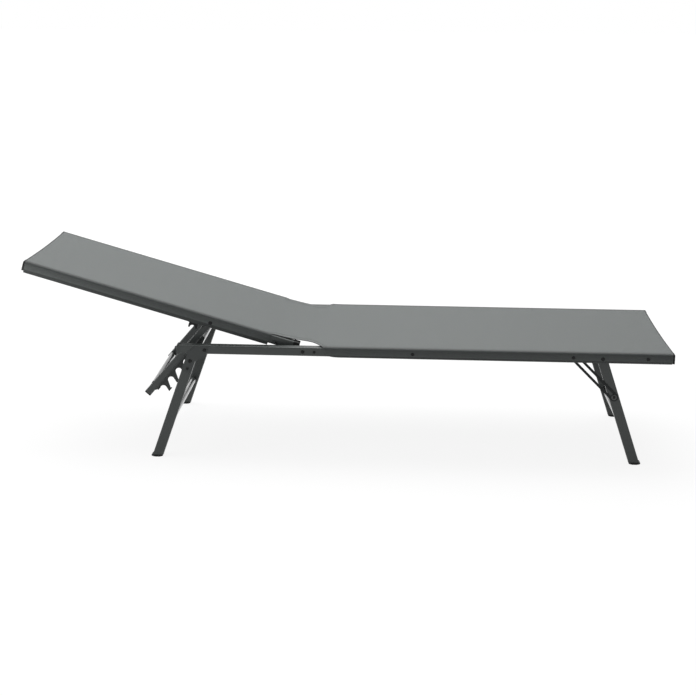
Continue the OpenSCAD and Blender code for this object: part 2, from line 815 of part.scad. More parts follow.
// Slotted brace from the seat rail to the bolt on the front leg
module brace(side) {
    color(dark_paint) on_side(side) at_brace() difference() {
        across(brace_in, brace_out) {
            circle(brace_w / 2);
            translate([0, -brace_w / 2]) square([brace_len, brace_w]);
            translate([brace_len, 0]) circle(brace_w / 2);
        }
        pin(bolt_hole_r, brace_in - cut, brace_out + cut);
        across(brace_in - cut, brace_out + cut) {
            translate([slot_start, 0]) circle(slot_w / 2);
            translate([slot_start, -slot_w / 2]) square([brace_len - slot_start, slot_w]);
            translate([brace_len, 0]) circle(slot_w / 2);
        }
    }
}

// The bolt at the slot's end stops just short of the leg, where the linkage is opened
module brace_bolt(side) {
    color(zinc) on_side(side) at_brace() translate([brace_len, 0, 0])
        bolt(brace_out, front_out + soft_gap, false);
}

seat_rail("right");  // seat_rail_right
seat_rail("left");  // seat_rail_left
seat_cross_tube(hinge_x + mid_tube_x);  // middle_cross_tube
seat_cross_tube(foot_x - foot_tube_inset);  // foot_cross_tube
seat_rail_plugs();
cross_tube_bolts();
hinge_bracket("right");  // hinge_bracket_right
hinge_bracket("left");  // hinge_bracket_left
hinge_pivot_bolts();
hinge_bracket_bolts();
rear_pivot_bolts();
front_pivot_bolts();
front_leg_spacers();
brace_pivot_rivets();
brace_spacers();
seat_sling();
backrest_rail("right");  // backrest_rail_right
backrest_rail("left");  // backrest_rail_left
backrest_tube(back_len - head_tube_inset);  // backrest_head_tube
backrest_tube(lumbar_tube_s);  // backrest_lower_tube
backrest_plugs();
hinge_plate("right");  // hinge_plate_right
hinge_plate("left");  // hinge_plate_left
hinge_plate_screws();
prop_pivot_bolts();
prop_spacers();
rest_saddle("right");  // rest_saddle_right
rest_saddle("left");  // rest_saddle_left
backrest_sling();
prop_arm("right");  // prop_arm_right
prop_arm("left");  // prop_arm_left
rack_plate("right");  // rack_plate_right
rack_plate("left");  // rack_plate_left
prop_cross_tube();
prop_end_caps();
rack_rivets();
rear_leg("right");  // rear_leg_right
rear_leg("left");  // rear_leg_left
leg_plate("right");  // leg_plate_right
leg_plate("left");  // leg_plate_left
rack_cross_tube();
rear_leg_tube();
rack_tube_bolts();
leg_plate_rivets();
rear_foot("right");  // rear_foot_right
rear_foot("left");  // rear_foot_left
front_leg("right");  // front_leg_right
front_leg("left");  // front_leg_left
front_leg_tube();
front_leg_caps();
front_foot("right");  // front_foot_right
front_foot("left");  // front_foot_left
brace("right");  // brace_right
brace("left");  // brace_left
brace_bolt("right");  // brace_bolt_right
brace_bolt("left");  // brace_bolt_left
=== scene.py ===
import json
from math import atan2, cos, pi, radians, sin

import bpy
from mathutils import Matrix, Vector


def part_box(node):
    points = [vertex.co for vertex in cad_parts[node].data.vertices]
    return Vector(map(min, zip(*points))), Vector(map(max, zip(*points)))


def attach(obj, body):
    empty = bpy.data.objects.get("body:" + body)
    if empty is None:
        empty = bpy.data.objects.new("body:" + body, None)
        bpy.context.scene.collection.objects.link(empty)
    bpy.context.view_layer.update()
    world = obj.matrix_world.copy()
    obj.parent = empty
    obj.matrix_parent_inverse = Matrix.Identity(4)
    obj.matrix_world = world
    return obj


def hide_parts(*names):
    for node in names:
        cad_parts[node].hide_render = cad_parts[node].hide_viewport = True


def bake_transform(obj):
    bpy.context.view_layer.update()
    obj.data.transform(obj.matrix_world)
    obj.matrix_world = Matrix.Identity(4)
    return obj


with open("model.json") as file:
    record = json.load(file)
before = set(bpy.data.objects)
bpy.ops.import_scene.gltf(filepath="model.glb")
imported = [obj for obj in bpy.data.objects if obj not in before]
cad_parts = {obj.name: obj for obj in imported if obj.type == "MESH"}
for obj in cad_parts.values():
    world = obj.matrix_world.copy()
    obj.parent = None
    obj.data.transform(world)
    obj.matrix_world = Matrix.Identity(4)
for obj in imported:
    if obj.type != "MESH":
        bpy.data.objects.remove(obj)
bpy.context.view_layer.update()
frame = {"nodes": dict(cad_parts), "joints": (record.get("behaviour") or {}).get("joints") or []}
nodes = frame["nodes"]

# The camera stands 4.5 m from the lounger's right side and 1.4 m up, as for a catalogue
# photograph. It looks 14 degrees down and a little towards the head end.
eye = Vector((0.1855, -4.4522, 1.3942))
turn, dip, tilt = -0.0619, 0.2493, 0.0058
gaze = Vector((sin(turn) * cos(dip), cos(turn) * cos(dip), -sin(dip)))
level_right = Vector((cos(turn), -sin(turn), 0))
level_up = level_right.cross(gaze)
right = cos(tilt) * level_right + sin(tilt) * level_up
up = cos(tilt) * level_up - sin(tilt) * level_right
camera_data = bpy.data.cameras.new("catalogue_camera")
camera_data.lens = 77.65
camera_data.sensor_width = 36
camera_data.shift_x = 0.042
camera_data.shift_y = 0.0033
camera = bpy.data.objects.new("catalogue_camera", camera_data)
bpy.context.scene.collection.objects.link(camera)
turned = Matrix((right, up, -gaze)).transposed().to_4x4()
camera.matrix_world = Matrix.Translation(eye) @ turned
bpy.context.scene.camera = camera

# The frame is steel tube with an anthracite powder coat: an even colour with a faint
# orange peel, a little paler and duller in soft patches. The rails, square cross tubes,
# legs and prop arms are the model's own tubes, welded or bolted together.


def anthracite_coat(name, colour, roughness):
    """A powder coat round a colour and a roughness, with soft patches and orange peel."""
    coat = bpy.data.materials.new(name)
    coat.use_nodes = True
    tree = coat.node_tree
    shader = tree.nodes["Principled BSDF"]
    place = tree.nodes.new("ShaderNodeTexCoord")
    clouds = tree.nodes.new("ShaderNodeTexNoise")
    clouds.inputs["Scale"].default_value = 7
    clouds.inputs["Detail"].default_value = 4
    shade = tree.nodes.new("ShaderNodeMix")
    shade.data_type = "RGBA"
    shade.inputs["A"].default_value = (*[0.86 * c for c in colour], 1)
    shade.inputs["B"].default_value = (*[1.14 * c for c in colour], 1)
    peel = tree.nodes.new("ShaderNodeTexNoise")
    peel.inputs["Scale"].default_value = 900
    peel.inputs["Detail"].default_value = 2
    gloss = tree.nodes.new("ShaderNodeMapRange")
    gloss.inputs["To Min"].default_value = roughness - 0.06
    gloss.inputs["To Max"].default_value = roughness + 0.06
    relief = tree.nodes.new("ShaderNodeBump")
    relief.inputs["Strength"].default_value = 0.12
    relief.inputs["Distance"].default_value = 0.0002
    tree.links.new(place.outputs["Object"], clouds.inputs["Vector"])
    tree.links.new(place.outputs["Object"], peel.inputs["Vector"])
    tree.links.new(clouds.outputs["Fac"], shade.inputs["Factor"])
    tree.links.new(clouds.outputs["Fac"], gloss.inputs["Value"])
    tree.links.new(shade.outputs["Result"], shader.inputs["Base Color"])
    tree.links.new(gloss.outputs["Result"], shader.inputs["Roughness"])
    tree.links.new(peel.outputs["Fac"], relief.inputs["Height"])
    tree.links.new(relief.outputs["Normal"], shader.inputs["Normal"])
    return coat


def finish_nodes(material, names):
    """Gives the model's own pieces a material."""
    for name in names:
        nodes[name].data.materials.clear()
        nodes[name].data.materials.append(material)


tube_coat = anthracite_coat("anthracite_powder_coat", (0.050, 0.057, 0.055), 0.42)
finish_nodes(tube_coat, [
    "seat_rail_right", "seat_rail_left", "middle_cross_tube", "foot_cross_tube",
    "backrest_rail_right", "backrest_rail_left", "backrest_head_tube",
    "backrest_lower_tube", "prop_arm_right", "prop_arm_left", "rear_leg_right",
    "rear_leg_left", "front_leg_right", "front_leg_left",
])

# The round cross tubes of the prop and the legs are drawn steel, fixed between the arms
# or legs of a pair. Their coat is thicker and smoother, so they shine more.

glossy_coat = anthracite_coat("anthracite_glossy_coat", (0.060, 0.068, 0.066), 0.34)
glossy_shader = glossy_coat.node_tree.nodes["Principled BSDF"]
glossy_shader.inputs["Coat Weight"].default_value = 0.8
glossy_shader.inputs["Coat Roughness"].default_value = 0.15
finish_nodes(glossy_coat, ["prop_cross_tube", "rack_cross_tube", "rear_leg_tube",
                           "front_leg_tube"])

# The hinge plates, racks and leg plates are cut from steel sheet, bolted or riveted to
# the tubes and coated. They are a shade darker, because the coat is thinner on them.

plate_coat = anthracite_coat("anthracite_plate_coat", (0.036, 0.041, 0.040), 0.48)
finish_nodes(plate_coat, [
    "hinge_bracket_right", "hinge_bracket_left", "hinge_plate_right", "hinge_plate_left",
    "rack_plate_right", "rack_plate_left", "leg_plate_right", "leg_plate_left",
])

# Caps close the ends of the prop's arms and of the front legs, and the legs stand in
# feet. They are moulded in black plastic with a fine grain and pushed on, and the spacers
# and rest saddles, which the bolts and rails hold, are moulded too.

moulding = bpy.data.materials.new("black_moulded_plastic")
moulding.use_nodes = True
moulding_tree = moulding.node_tree
moulding_shader = moulding_tree.nodes["Principled BSDF"]
moulding_shader.inputs["Roughness"].default_value = 0.55
moulding_shader.inputs["Specular IOR Level"].default_value = 0.2
moulding_place = moulding_tree.nodes.new("ShaderNodeTexCoord")
grain = moulding_tree.nodes.new("ShaderNodeTexVoronoi")
grain.inputs["Scale"].default_value = 1400
tone = moulding_tree.nodes.new("ShaderNodeTexNoise")
tone.inputs["Scale"].default_value = 40
blacks = moulding_tree.nodes.new("ShaderNodeMix")
blacks.data_type = "RGBA"
blacks.inputs["A"].default_value = (0.010, 0.011, 0.011, 1)
blacks.inputs["B"].default_value = (0.020, 0.021, 0.021, 1)
grain_relief = moulding_tree.nodes.new("ShaderNodeBump")
grain_relief.inputs["Strength"].default_value = 0.25
grain_relief.inputs["Distance"].default_value = 0.0001
moulding_tree.links.new(moulding_place.outputs["Object"], grain.inputs["Vector"])
moulding_tree.links.new(moulding_place.outputs["Object"], tone.inputs["Vector"])
moulding_tree.links.new(tone.outputs["Fac"], blacks.inputs["Factor"])
moulding_tree.links.new(blacks.outputs["Result"], moulding_shader.inputs["Base Color"])
moulding_tree.links.new(grain.outputs["Distance"], grain_relief.inputs["Height"])
moulding_tree.links.new(grain_relief.outputs["Normal"], moulding_shader.inputs["Normal"])
finish_nodes(moulding, [
    "prop_end_caps", "front_leg_caps", "front_leg_spacers", "brace_spacers",
    "prop_spacers", "rest_saddle_right", "rest_saddle_left", "rear_foot_right",
    "rear_foot_left", "front_foot_right", "front_foot_left",
])

# The bolts, screws and rivets are steel, blackened and oiled. Their heads are smooth, so
# they catch a small light, and they are rubbed a little paler in spots.

plating = bpy.data.materials.new("blackened_steel")
plating.use_nodes = True
plating_tree = plating.node_tree
plating_shader = plating_tree.nodes["Principled BSDF"]
plating_shader.inputs["Metallic"].default_value = 0.3
plating_shader.inputs["Specular IOR Level"].default_value = 0.25
plating_place = plating_tree.nodes.new("ShaderNodeTexCoord")
rub = plating_tree.nodes.new("ShaderNodeTexNoise")
rub.inputs["Scale"].default_value = 160
rub.inputs["Detail"].default_value = 5
rubbed = plating_tree.nodes.new("ShaderNodeMix")
rubbed.data_type = "RGBA"
rubbed.inputs["A"].default_value = (0.006, 0.006, 0.006, 1)
rubbed.inputs["B"].default_value = (0.022, 0.023, 0.024, 1)
rub_gloss = plating_tree.nodes.new("ShaderNodeMapRange")
rub_gloss.inputs["To Min"].default_value = 0.28
rub_gloss.inputs["To Max"].default_value = 0.45
plating_tree.links.new(plating_place.outputs["Object"], rub.inputs["Vector"])
plating_tree.links.new(rub.outputs["Fac"], rubbed.inputs["Factor"])
plating_tree.links.new(rub.outputs["Fac"], rub_gloss.inputs["Value"])
plating_tree.links.new(rubbed.outputs["Result"], plating_shader.inputs["Base Color"])
plating_tree.links.new(rub_gloss.outputs["Result"], plating_shader.inputs["Roughness"])
finish_nodes(plating, ["hinge_plate_screws", "rack_rivets", "leg_plate_rivets"])

# The frame bolts are turned steel with domed heads and hexagon sockets, and pass through
# the rails. Those of the pivots and the hinge plates have nuts with chamfered corners.

facing = 0.9                  # a face looks along an axis if its normal reaches this on it
overrun = 0.001               # how far a cutting tool reaches past the piece
fit = 0.0001                  # clearance of a bolt in its nut or washer
shank_r = 0.0040
shank_start = -0.0001         # the shank begins this far inside the head
nut_r, nut_h = 0.0075, 0.0030
head_sides, round_sides = 32, 24
head_share = 0.42             # a head's height and its socket's radius, of its radius
dome_share = 0.8              # share of the head's height that is rounded
left_share = 0.45             # share of the head's height that is left under the socket


def select_only(piece):
    """Selects a piece alone and makes it the active one."""
    bpy.ops.object.select_all(action="DESELECT")
    piece.select_set(True)
    bpy.context.view_layer.objects.active = piece


def settle(piece):
    """Moves a piece's place into its mesh."""
    select_only(piece)
    bpy.ops.object.transform_apply(location=True, rotation=True, scale=True)
    return piece


def edit_part(piece, mode, wanted):
    """Goes to edit mode with only the wanted faces, edges or corners selected."""
    select_only(piece)
    bpy.ops.object.mode_set(mode="EDIT")
    bpy.ops.mesh.select_mode(type=mode)
    bpy.ops.mesh.select_all(action="DESELECT")
    bpy.ops.object.mode_set(mode="OBJECT")
    mesh = piece.data
    for part in {"FACE": mesh.polygons, "EDGE": mesh.edges, "VERT": mesh.vertices}[mode]:
        part.select = wanted(part)
    bpy.ops.object.mode_set(mode="EDIT")


def bevel_part(piece, mode, wanted, width, segments):
    """Rounds the wanted edges, or the edges of the wanted faces, or chamfers them."""
    edit_part(piece, mode, wanted)
    bpy.ops.mesh.bevel(offset=width, segments=segments)
    bpy.ops.object.mode_set(mode="OBJECT")


def bar(corners, radius, y0, y1):
    """Adds a round or hexagonal bar along Y from y0 to y1."""
    bpy.ops.object.select_all(action="DESELECT")
    bpy.ops.mesh.primitive_cylinder_add(vertices=corners, radius=radius, depth=y1 - y0,
                                        location=(0, (y0 + y1) / 2, 0),
                                        rotation=(pi / 2, 0, 0))
    return settle(bpy.context.object)


def cut_away(piece, tool):
    """Takes the tool's shape out of the piece."""
    cut = piece.modifiers.new("cut", "BOOLEAN")
    cut.operation = "DIFFERENCE"
    cut.solver = "EXACT"
    cut.object = tool
    bpy.context.view_layer.objects.active = piece
    bpy.ops.object.modifier_apply(modifier="cut")
    bpy.data.objects.remove(tool)


def copy_of(master):
    """A copy of a piece with a mesh of its own."""
    copy = master.copy()
    copy.data = master.data.copy()
    bpy.context.scene.collection.objects.link(copy)
    return copy


def smooth(piece):
    """Shades round faces smooth and leaves corners sharp."""
    select_only(piece)
    bpy.ops.object.shade_smooth_by_angle(angle=radians(35))


def join_up(pieces, name):
    """Joins pieces into one, smooth and with a name."""
    select_only(pieces[0])
    for piece in pieces:
        piece.select_set(True)
    bpy.ops.object.join()
    pieces[0].name = name
    smooth(pieces[0])
    return pieces[0]


def fasten(piece, body, node):
    """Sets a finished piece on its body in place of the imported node."""
    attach(piece, body)
    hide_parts(node)


def domed_bolt(length, head_r, has_nut):
    """A bolt with its head's underside at y = 0, its head outwards at -Y."""
    head_h = head_share * head_r
    head = bar(head_sides, head_r, -head_h, 0)
    bevel_part(head, "FACE", lambda face: face.normal.y < -facing, dome_share * head_h,
               segments=5)
    cut_away(head, bar(6, head_share * head_r, -head_h - overrun, -left_share * head_h))
    shank = bar(round_sides, shank_r, shank_start, length)
    bevel_part(shank, "FACE", lambda face: face.normal.y > facing, shank_r / 5, segments=1)
    parts = [head, shank]
    if has_nut:
        nut = bar(6, nut_r, length - nut_h, length)
        bevel_part(nut, "FACE", lambda face: abs(face.normal.y) > facing, nut_h / 6,
                   segments=1)
        cut_away(nut, bar(round_sides, shank_r + fit, length - nut_h - overrun,
                          length + overrun))
        parts.append(nut)
    return join_up(parts, "domed_bolt")


def middle(node):
    """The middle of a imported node's box."""
    low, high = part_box(node)
    return (Vector(low) + Vector(high)) / 2


seat_rail = middle("seat_rail_left")
back_rail = middle("backrest_rail_left")
cloth_over = 0.0022           # from a rail to the outside of the cloth round it
plate_gap = 0.0003            # between a leg plate and a head
rail_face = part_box("seat_rail_left")[1][1]
seat_cloth = rail_face + cloth_over
back_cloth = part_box("backrest_rail_left")[1][1] + cloth_over
plate_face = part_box("leg_plate_left")[1][1] + plate_gap
solid_head_r = 0.0065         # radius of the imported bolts' plain heads
first_tube_bolt, last_tube_bolt = middle("cross_tube_bolts"), middle("cross_tube_bolts")
first_tube_bolt.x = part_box("cross_tube_bolts")[0][0] + solid_head_r
last_tube_bolt.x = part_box("cross_tube_bolts")[1][0] - solid_head_r
# Node, body, place of the head's underside, length under it, head radius, nut or not
fasteners = [
    ("cross_tube_bolts", "seat_frame", seat_cloth, 0.0490, 0.0050, False),
    ("hinge_pivot_bolts", "seat_frame", rail_face, 0.0382, 0.0052, True),
    ("hinge_bracket_bolts", "seat_frame", rail_face, 0.0350, 0.0042, True),
    ("rear_pivot_bolts", "seat_frame", plate_face, 0.0361, 0.0052, True),
    ("front_pivot_bolts", "seat_frame", seat_cloth, 0.0661, 0.0055, True),
    ("brace_pivot_rivets", "seat_frame", seat_cloth, 0.0372, 0.0050, False),
    ("prop_pivot_bolts", "backrest", back_cloth, 0.0575, 0.0055, True),
    ("rack_tube_bolts", "rear_legs", plate_face, 0.0451, 0.0055, False),
]
for node, body, seat, length, head_r, has_nut in fasteners:
    master_bolt = domed_bolt(length, head_r, has_nut)
    master_bolt.data.materials.append(plating)
    places = [first_tube_bolt, last_tube_bolt] if node == "cross_tube_bolts" else [middle(node)]
    bolts = []
    for place in places:
        for side, turned in ((-1, 0), (1, pi)):
            bolt = copy_of(master_bolt)
            bolt.rotation_euler = (0, 0, turned)
            bolt.location = (place.x, side * seat, place.z)
            bolts.append(settle(bolt))
    bpy.data.objects.remove(master_bolt)
    fasten(join_up(bolts, node + "_domed"), body, node)

# Each rail ends in a moulded cap: a lip over the tube's end, a short sleeve round the tube
# and a block that is pushed into it. The backrest's lower ends have a longer sleeve without
# a lip, open where the hinge plate lies on the rail. The seat's rear caps are in tube grey.

sleeve_half_w, sleeve_half_h = 0.0159, 0.0134
sleeve_wall = 0.0008
sleeve_corner_r = 0.0032
block_inset, block_depth = 0.0033, 0.0150
rear_area = 0.0002            # square metres: only a cap's rear face is larger


def extrude_rear(piece, inset, length):
    """Insets the rear face and draws it out along X."""
    edit_part(piece, "FACE",
              lambda face: face.normal.x < -facing and face.area > rear_area)
    bpy.ops.mesh.inset(thickness=inset, depth=0)
    bpy.ops.mesh.extrude_region_move(TRANSFORM_OT_translate={"value": (length, 0, 0)})
    bpy.ops.object.mode_set(mode="OBJECT")


def block(x, y, z):
    """Adds a box between the low and high places on each axis."""
    bpy.ops.object.select_all(action="DESELECT")
    bpy.ops.mesh.primitive_cube_add(
        size=1, location=[(low + high) / 2 for low, high in (x, y, z)],
        scale=[high - low for low, high in (x, y, z)])
    return settle(bpy.context.object)


def end_cap(lip, lip_step, sleeve, dome, wall):
    """A cap with its outer face at x = 0 and the rail's end behind a wall."""
    half_w, half_h = sleeve_half_w + lip_step, sleeve_half_h + lip_step
    cap = block((-lip, 0), (-half_w, half_w), (-half_h, half_h))

    def runs_along(line):
        one, other = [cap.data.vertices[v].co for v in line.vertices]
        return abs(one.x - other.x) > lip / 2

    bevel_part(cap, "EDGE", runs_along, sleeve_corner_r + lip_step, segments=5)
    bevel_part(cap, "FACE", lambda face: face.normal.x > facing, dome, segments=4)
    if lip_step:
        extrude_rear(cap, lip_step, lip - sleeve)
    extrude_rear(cap, sleeve_wall, sleeve - wall)
    extrude_rear(cap, block_inset, -block_depth)
    return cap


def cap_rail(cap, end, rail_y, front, finish):
    """Sets a cap at a rail's end, facing to the front, upright in the rail's plane."""
    upright = Vector((-front.z, 0, front.x)) * (1 if front.x > 0 else -1)
    turned = Matrix((front, upright.cross(front), upright)).transposed().to_4x4()
    cap.matrix_world = Matrix.Translation((end.x, rail_y, end.z)) @ turned
    cap.data.materials.append(finish)
    return settle(cap)


hinge = Vector(frame["joints"][0]["pos_m"])
recline = radians(15.8)
to_foot = Vector((1, 0, 0))
up_the_back = Vector((-cos(recline), 0, sin(recline)))
rear_end = Vector((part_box("seat_rail_plugs")[0][0], 0, hinge.z))
foot_end = Vector((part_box("seat_rail_plugs")[1][0], 0, hinge.z))
back_reach = 0.8465           # from the hinge to the outer face of the head end's cap
low_reach = 0.0141            # and to that of the low end's
low_sleeve = 0.0185
plate_band = (-0.0110, 0.0010)    # across the rail, where the hinge plate lies on it
lipped_cap = end_cap(lip=0.0020, lip_step=0.0006, sleeve=0.0055, dome=0.0009, wall=0.0029)
long_cap = end_cap(lip=low_sleeve, lip_step=0, sleeve=low_sleeve, dome=0.0012, wall=0.0008)
seat_caps, back_caps = [], []
for side in (-1, 1):
    seat_caps.append(cap_rail(copy_of(lipped_cap), foot_end, side * seat_rail.y, to_foot,
                              moulding))
    seat_caps.append(cap_rail(copy_of(lipped_cap), rear_end, side * seat_rail.y, -to_foot,
                              tube_coat))
    back_caps.append(cap_rail(copy_of(lipped_cap), hinge + back_reach * up_the_back,
                              side * back_rail.y, up_the_back, moulding))
    open_cap = copy_of(long_cap)
    outer_wall = sorted((side * (sleeve_half_w - sleeve_wall),
                         side * (sleeve_half_w + overrun)))
    cut_away(open_cap, block((-low_sleeve - overrun, overrun), outer_wall, plate_band))
    back_caps.append(cap_rail(open_cap, hinge + low_reach * up_the_back,
                              side * back_rail.y, -up_the_back, moulding))
bpy.data.objects.remove(lipped_cap)
bpy.data.objects.remove(long_cap)
for caps, body, node in ((seat_caps, "seat_frame", "seat_rail_plugs"),
                         (back_caps, "backrest", "backrest_plugs")):
    fasten(join_up(caps, node + "_moulded"), body, node)

# The braces are long slotted links of steel sheet with round ends and a matt black coat,
# darker than the frame's, which also paints in the shade they lie in beside the legs.
# Each turns on its rivet in the rail, and a bolt with a broad washer runs in its slot.

brace_shade_coat = anthracite_coat("matt_black_and_shade_coat", (0.027, 0.030, 0.030), 0.55)
brace_shader = brace_shade_coat.node_tree.nodes["Principled BSDF"]
brace_shader.inputs["Specular IOR Level"].default_value = 0.2
# The washers have a paler coat than the braces.
washer_coat = anthracite_coat("pale_washer_coat", (0.090, 0.095, 0.092), 0.35)
brace_start = middle("brace_pivot_rivets")
slide_place = middle("brace_bolt_right")
brace_way = Vector((slide_place.x - brace_start.x, 0, slide_place.z - brace_start.z))
brace_inner, brace_outer = [corner[1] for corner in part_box("brace_left")]
brace_r, slot_r = 0.0121, 0.0047
slot_from = 0.0195            # from the rivet's middle to the slot's end
sheet_edge = 0.0003           # rounding along the edges of the sheet
washer_r, washer_h = 0.0080, 0.0008
slide_length, slide_head_r = 0.0031, 0.0043
end_sides = 40                # sides of the bar whose halves make the round ends
washer_sides = 36


def long_link(start, end, radius, y0, y1):
    """A bar with round ends along X, from the first end's middle to the second's."""
    link_bar = bar(end_sides, radius, y0, y1)
    link_bar.rotation_euler = (0, pi / end_sides, 0)
    settle(link_bar)
    edit_part(link_bar, "VERT", lambda corner: corner.co.x > 0)
    bpy.ops.transform.translate(value=(end - start, 0, 0))
    bpy.ops.mesh.select_all(action="SELECT")
    bpy.ops.transform.translate(value=(start, 0, 0))
    bpy.ops.object.mode_set(mode="OBJECT")
    return link_bar


through = (brace_inner - overrun, brace_outer + overrun)
master_brace = long_link(0, brace_way.length, brace_r, brace_inner, brace_outer)
bevel_part(master_brace, "FACE", lambda face: abs(face.normal.y) > facing, sheet_edge,
           segments=1)
cut_away(master_brace, long_link(slot_from + slot_r, brace_way.length, slot_r, *through))
cut_away(master_brace, bar(round_sides, shank_r + 2 * fit, *through))
master_brace.data.materials.append(brace_shade_coat)
master_brace.rotation_euler = (0, atan2(-brace_way.z, brace_way.x), 0)
master_brace.location = (brace_start.x, 0, brace_start.z)
smooth(settle(master_brace))
for hand, sideways in (("right", -brace_inner - brace_outer), ("left", 0)):
    brace = copy_of(master_brace)
    brace.name = "brace_" + hand + "_slotted"
    brace.location = (0, sideways, 0)
    fasten(settle(brace), hand + "_brace", "brace_" + hand)
bpy.data.objects.remove(master_brace)

slide_bolt = domed_bolt(slide_length, slide_head_r, has_nut=False)
slide_bolt.data.materials.append(plating)
washer = bar(washer_sides, washer_r, 0, washer_h)
bevel_part(washer, "FACE", lambda face: face.normal.y < -facing, sheet_edge, segments=2)
cut_away(washer, bar(round_sides, shank_r + fit, -overrun, washer_h + overrun))
washer.data.materials.append(washer_coat)
master_slide = join_up([slide_bolt, washer], "slide_bolt")
for side, hand, turned in ((-1, "right", 0), (1, "left", pi)):
    slide = copy_of(master_slide)
    slide.name = "brace_bolt_" + hand + "_domed"
    slide.rotation_euler = (0, 0, turned)
    slide.location = (slide_place.x, side * (brace_outer + washer_h), slide_place.z)
    fasten(settle(slide), hand + "_brace", "brace_bolt_" + hand)
bpy.data.objects.remove(master_slide)

# The sling is one length of grey woven mesh, stretched over the backrest and the seat.
# Its long sides are wrapped round the rails and its edges are hemmed. Beside the hinge
# it is cut in to a waist, so that the plates and bolts of the hinge stay free.

rail_half_height = 0.0125
cloth_thickness = 0.0011
rail_gap = 0.0016             # from a rail to the middle of the cloth's thickness
cloth_lift = rail_half_height + rail_gap
corner_r = 0.0073
lap = 0.022                   # how far the cloth runs in under a rail
seat_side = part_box("seat_rail_left")[1][1] + rail_gap
back_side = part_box("backrest_rail_left")[1][1] + rail_gap
slack = {seat_side: 0.0011, back_side: 0.0052}    # how far the wrap hangs below a rail
turn_length = corner_r * pi / 2                   # cloth in one of the wrap's two bends
cap_gap = 0.002               # from a free end to the outer face of the caps
seat_length = foot_end.x - cap_gap - hinge.x
back_length = back_reach - cap_gap
bend_head = 0.100             # stretch above and below the hinge in which the cloth bends
bend_foot = 0.090
end_scoop = 0.0015            # how far the free ends are drawn in at the middle
scoop_reach = 0.25            # and how far that is felt, along and across
wrap_short = 0.005            # the wrap round a rail stops this far before the free ends
end_hang = 0.001              # and hangs at most this far past the first bend there
hair = 0.0001                 # slack of a comparison
sag_depth = 0.0025
taut_band = 0.035             # beside a rail's outside the cloth doesn't sag
saddle_gap = 0.0025           # the wrap opens this far before and behind a rest saddle
saddle_share = 0.9            # share of a bend that hangs down over a saddle
saddle_from, saddle_to = [(hinge - Vector(corner)).length for corner in (
    (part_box("rest_saddle_left")[1][0], 0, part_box("rest_saddle_left")[1][2]),
    (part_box("rest_saddle_left")[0][0], 0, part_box("rest_saddle_left")[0][2]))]
# Place along the cloth, from the hinge towards the foot, and its half width there laid flat
waist = [(-0.150, 0.3110), (-0.107, 0.3040), (-0.103, 0.2660), (-0.098, 0.2490),
         (-0.088, 0.2440), (-0.060, 0.2435), (-0.040, 0.2415), (-0.020, 0.2390),
         (0.000, 0.2375), (0.012, 0.2380), (0.022, 0.2425), (0.034, 0.2550),
         (0.046, 0.2725), (0.056, 0.2900), (0.064, 0.3080), (0.080, 0.3150),
         (0.115, 0.3215), (0.160, 0.3430)]


def waist_at(distance):
    """Half width of the cut cloth at a distance from the hinge, 1 m where it isn't cut."""
    for (d0, w0), (d1, w1) in zip(waist, waist[1:]):
        if d0 < distance <= d1:
            share = (distance - d0) / (d1 - d0)
            return w0 + (w1 - w0) * share
    return 1.0


def cloth_line(distance):
    """Point of the cloth's middle line and its normal, at a distance from the hinge."""
    back_normal = Vector((sin(recline), 0, cos(recline)))
    crease = cloth_lift * (1 - cos(recline)) / sin(recline)
    if distance <= -bend_head:
        return hinge + cloth_lift * back_normal - distance * up_the_back, back_normal
    if distance >= bend_foot:
        return hinge + Vector((distance, 0, cloth_lift)), Vector((0, 0, 1))
    start = hinge + cloth_lift * back_normal + bend_head * up_the_back
    end = hinge + Vector((bend_foot, 0, cloth_lift))
    corner = hinge + Vector((crease, 0, cloth_lift))
    share = (distance + bend_head) / (bend_head + bend_foot)
    point = (1 - share) ** 2 * start + 2 * share * (1 - share) * corner + share ** 2 * end
    normal = (back_normal * (1 - share) + Vector((0, 0, 1)) * share).normalized()
    return point, normal


def side_height(side):
    """Height of the cloth that hangs straight between the bends above and below."""
    return 2 * cloth_lift - 2 * corner_r + slack[side]


def full_width(side):
    """Half width of the cloth, laid flat, where it is wrapped in under the rail."""
    return side - corner_r + corner_r * pi + side_height(side) + lap


def round_rail(across, side, over_saddle):
    """Place of a point of the cloth, laid flat at across, once it is wrapped round the
    rail: its sideways place and its depth below the cloth's top. Over a rest saddle the
    wrap hangs straight down outside the saddle."""
    top = side - corner_r
    if across <= top:
        return across, 0.0
    across -= top
    turned = across / corner_r
    if across <= turn_length:
        return top + corner_r * sin(turned), corner_r * (1 - cos(turned))
    across -= turn_length
    if across <= side_height(side) or over_saddle:
        return side, corner_r + across
    across -= side_height(side)
    turned = across / corner_r
    bottom = corner_r + side_height(side)
    if across <= turn_length:
        return top + corner_r * cos(turned), bottom + corner_r * sin(turned)
    return top - (across - turn_length), bottom + corner_r


def half_columns():
    """Places across the flat cloth, from its middle: even on top, closer in the bends."""
    flat_columns = round(min(width for distance, width in waist) / column_step)
    places = [column_step * i for i in range(flat_columns + 1)]
    for side in (back_side, seat_side):
        hanging = side - corner_r + turn_length
        below = hanging + side_height(side)
        places += [side - corner_r + turn_length * i / bend_parts for i in range(bend_parts + 1)]
        places += [hanging + side_height(side) * i / side_parts
                   for i in range(1, side_parts + 1)]
        places += [below + turn_length * i / bend_parts for i in range(1, bend_parts + 1)]
        places.append(full_width(side))
    return sorted(set(round(p, 5) for p in places))


def steps(start, end, step):
    """Even places from start to just before end, about a step apart."""
    number = round((end - start) / step)
    return [start + (end - start) * i / number for i in range(number)]


